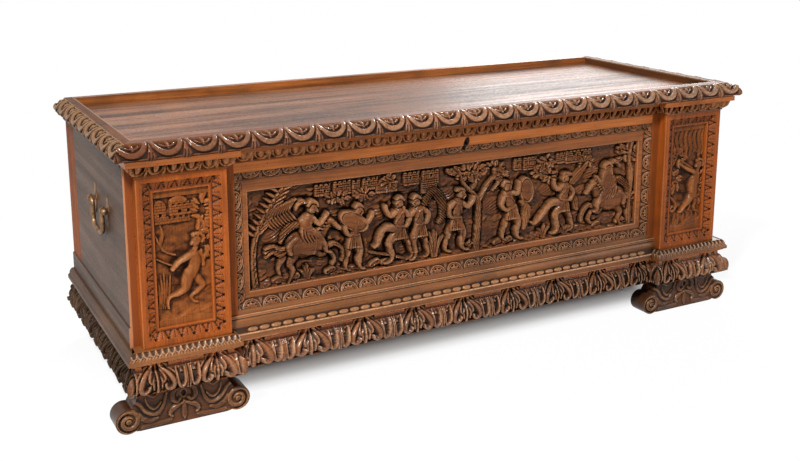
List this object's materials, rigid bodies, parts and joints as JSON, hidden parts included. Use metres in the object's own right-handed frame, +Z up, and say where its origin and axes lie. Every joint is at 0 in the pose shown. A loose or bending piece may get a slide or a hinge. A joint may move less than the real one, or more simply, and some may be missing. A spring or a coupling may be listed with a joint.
{
  "type": "carved chest",
  "caption": "Long carved walnut marriage chest with a tray shaped hinged lid, a low relief front between pilasters, leaf carved base mouldings, scroll feet and drop handles.",
  "frame": {"origin": "middle of the footprint at floor level: the centre of the bounding box's bottom", "axes": "+X along the chest's length to the right as its carved front is seen, +Y from the front to the back, +Z up"},
  "size_m": [1.724, 0.6504, 0.6285],
  "materials": {
    "lid_boards": "worn wax, greyed",
    "lid_rims": "waxed walnut",
    "carved_front": "waxed walnut, dark recesses",
    "case_sides": "dull waxed walnut",
    "plain_walnut": "waxed walnut",
    "hidden_boards": "raw boards",
    "handle_bronze": "aged, dark",
    "fitting_iron": "forged, dark"
  },
  "bodies": {
    "case": {"side_board_left": "case_sides", "side_board_right": "case_sides", "side_band_left": "case_sides", "side_band_right": "case_sides", "side_fillet_left": "case_sides", "side_fillet_right": "case_sides", "side_rear_stile_left": "plain_walnut", "side_rear_stile_right": "plain_walnut", "front_stile_left": "plain_walnut", "front_stile_right": "plain_walnut", "front_rail_top": "plain_walnut", "front_rail_bottom": "plain_walnut", "back_board_lower": "hidden_boards", "back_board_upper": "hidden_boards", "bottom_board": "hidden_boards", "foot_rear_left": "hidden_boards", "foot_rear_right": "hidden_boards", "relief_panel": "carved_front", "panel_moulding_top": "carved_front", "panel_moulding_bottom": "carved_front", "panel_moulding_left": "carved_front", "panel_moulding_right": "carved_front", "pilaster_frame_left": "carved_front", "pilaster_frame_right": "carved_front", "pilaster_panel_left": "carved_front", "pilaster_panel_right": "carved_front", "cornice_centre": "carved_front", "cornice_pilaster_left": "carved_front", "cornice_pilaster_right": "carved_front", "sill_moulding": "carved_front", "cap_moulding_centre": "carved_front", "cap_moulding_pilaster_left": "carved_front", "cap_moulding_pilaster_right": "carved_front", "cap_moulding_side_left": "carved_front", "cap_moulding_side_right": "carved_front", "leaf_moulding_centre": "carved_front", "leaf_moulding_pilaster_left": "carved_front", "leaf_moulding_pilaster_right": "carved_front", "leaf_moulding_side_left": "carved_front", "leaf_moulding_side_right": "carved_front", "foot_front_left": "carved_front", "foot_front_right": "carved_front", "handle_plates_left": "handle_bronze", "handle_plates_right": "handle_bronze", "hinge_case_leaves": "fitting_iron", "hinge_pins": "fitting_iron", "lock_case": "fitting_iron"},
    "lid": {"lid_board_front": "lid_boards", "lid_board_middle": "lid_boards", "lid_board_rear": "lid_boards", "lid_rim_front": "lid_rims", "lid_rim_left": "lid_rims", "lid_rim_right": "lid_rims", "lid_rim_rear": "lid_rims", "hinge_lid_leaves": "fitting_iron", "lock_staple": "fitting_iron"},
    "bail_left": {"bail_left": "handle_bronze"},
    "bail_right": {"bail_right": "handle_bronze"},
    "lock_bolt": {"lock_bolt": "fitting_iron"}
  },
  "joints": [
    {"name": "lid_hinge", "type": "hinge", "parent": "case", "child": "lid", "pos_m": [0, 0.3192, 0.59425], "axis": [-1, 0, 0], "range_deg": [0, 95]},
    {"name": "bail_left_swing", "type": "hinge", "parent": "case", "child": "bail_left", "pos_m": [-0.829, -0.0592, 0.447], "axis": [0, 1, 0], "range_deg": [-4, 175]},
    {"name": "bail_right_swing", "type": "hinge", "parent": "case", "child": "bail_right", "pos_m": [0.829, -0.0592, 0.447], "axis": [0, -1, 0], "range_deg": [-4, 175]},
    {"name": "lock_bolt_slide", "type": "slide", "parent": "case", "child": "lock_bolt", "axis": [1, 0, 0], "range_m": [0, 0.018]}
  ]
}
